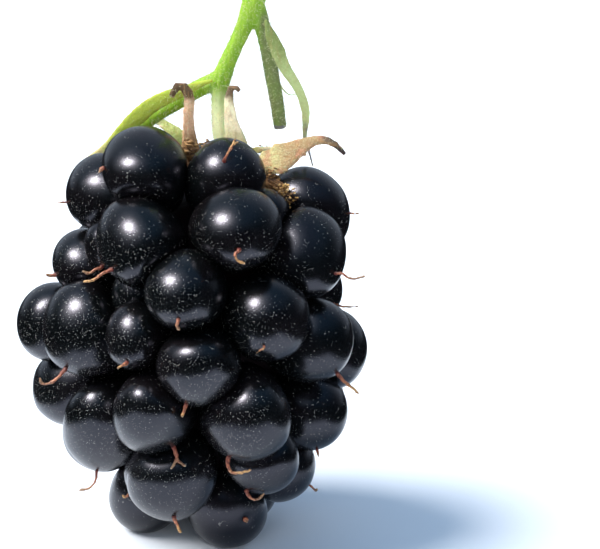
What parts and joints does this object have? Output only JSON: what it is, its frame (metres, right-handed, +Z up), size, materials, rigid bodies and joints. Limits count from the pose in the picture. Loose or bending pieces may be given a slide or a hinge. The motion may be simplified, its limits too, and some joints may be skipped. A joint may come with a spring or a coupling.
{
  "type": "bramble berry",
  "caption": "Ripe bramble berry on a forked green stalk: glossy near-black drupelets packed round a receptacle, dried curling sepals and spent stamens on top, standing on its blunt tip.",
  "frame": {"origin": "on the ground, under the middle of the whole object's box", "axes": "+Z up along the berry, from its tip towards its stalk; -Y is the front, +X to the right seen from the front"},
  "size_m": [0.0216, 0.0216, 0.0361],
  "materials": {
    "skin": "glossy near-black fruit skin with a fine grain",
    "flesh": "matt pale flesh, stained dark by juice",
    "green": "soft downy green stalk",
    "leaf": "thin yellow-green bract",
    "dried": "dried downy sepal, straw to brown",
    "straw": "dry brown filaments"
  },
  "bodies": {
    "root": {"receptacle": "flesh", "calyx_cup": "green", "stamens": "straw", "stalk": "green", "bract_left": "leaf", "bract_right": "leaf", "sepal_1": "dried", "sepal_2": "dried", "sepal_3": "dried", "sepal_4": "dried", "sepal_5": "dried", "drupelet_crown_1": "skin", "drupelet_crown_2": "skin", "drupelet_crown_3": "skin", "drupelet_neck_1": "skin", "drupelet_neck_2": "skin", "drupelet_neck_3": "skin", "drupelet_neck_4": "skin", "drupelet_neck_5": "skin", "drupelet_neck_6": "skin", "drupelet_shoulder_1": "skin", "drupelet_shoulder_2": "skin", "drupelet_shoulder_3": "skin", "drupelet_shoulder_4": "skin", "drupelet_shoulder_5": "skin", "drupelet_shoulder_6": "skin", "drupelet_shoulder_7": "skin", "drupelet_middle_1": "skin", "drupelet_middle_2": "skin", "drupelet_middle_3": "skin", "drupelet_middle_4": "skin", "drupelet_middle_5": "skin", "drupelet_middle_6": "skin", "drupelet_middle_7": "skin", "drupelet_belly_1": "skin", "drupelet_belly_2": "skin", "drupelet_belly_3": "skin", "drupelet_belly_4": "skin", "drupelet_belly_5": "skin", "drupelet_belly_6": "skin", "drupelet_belly_7": "skin", "drupelet_flank_1": "skin", "drupelet_flank_2": "skin", "drupelet_flank_3": "skin", "drupelet_flank_4": "skin", "drupelet_flank_5": "skin", "drupelet_flank_6": "skin", "drupelet_flank_7": "skin", "drupelet_flank_8": "skin", "drupelet_flank_9": "skin", "drupelet_flank_10": "skin", "drupelet_base_1": "skin", "drupelet_base_2": "skin", "drupelet_base_3": "skin", "drupelet_base_4": "skin", "drupelet_base_5": "skin", "drupelet_base_6": "skin", "drupelet_tip_1": "skin", "drupelet_tip_2": "skin", "drupelet_tip_3": "skin"}
  },
  "joints": []
}
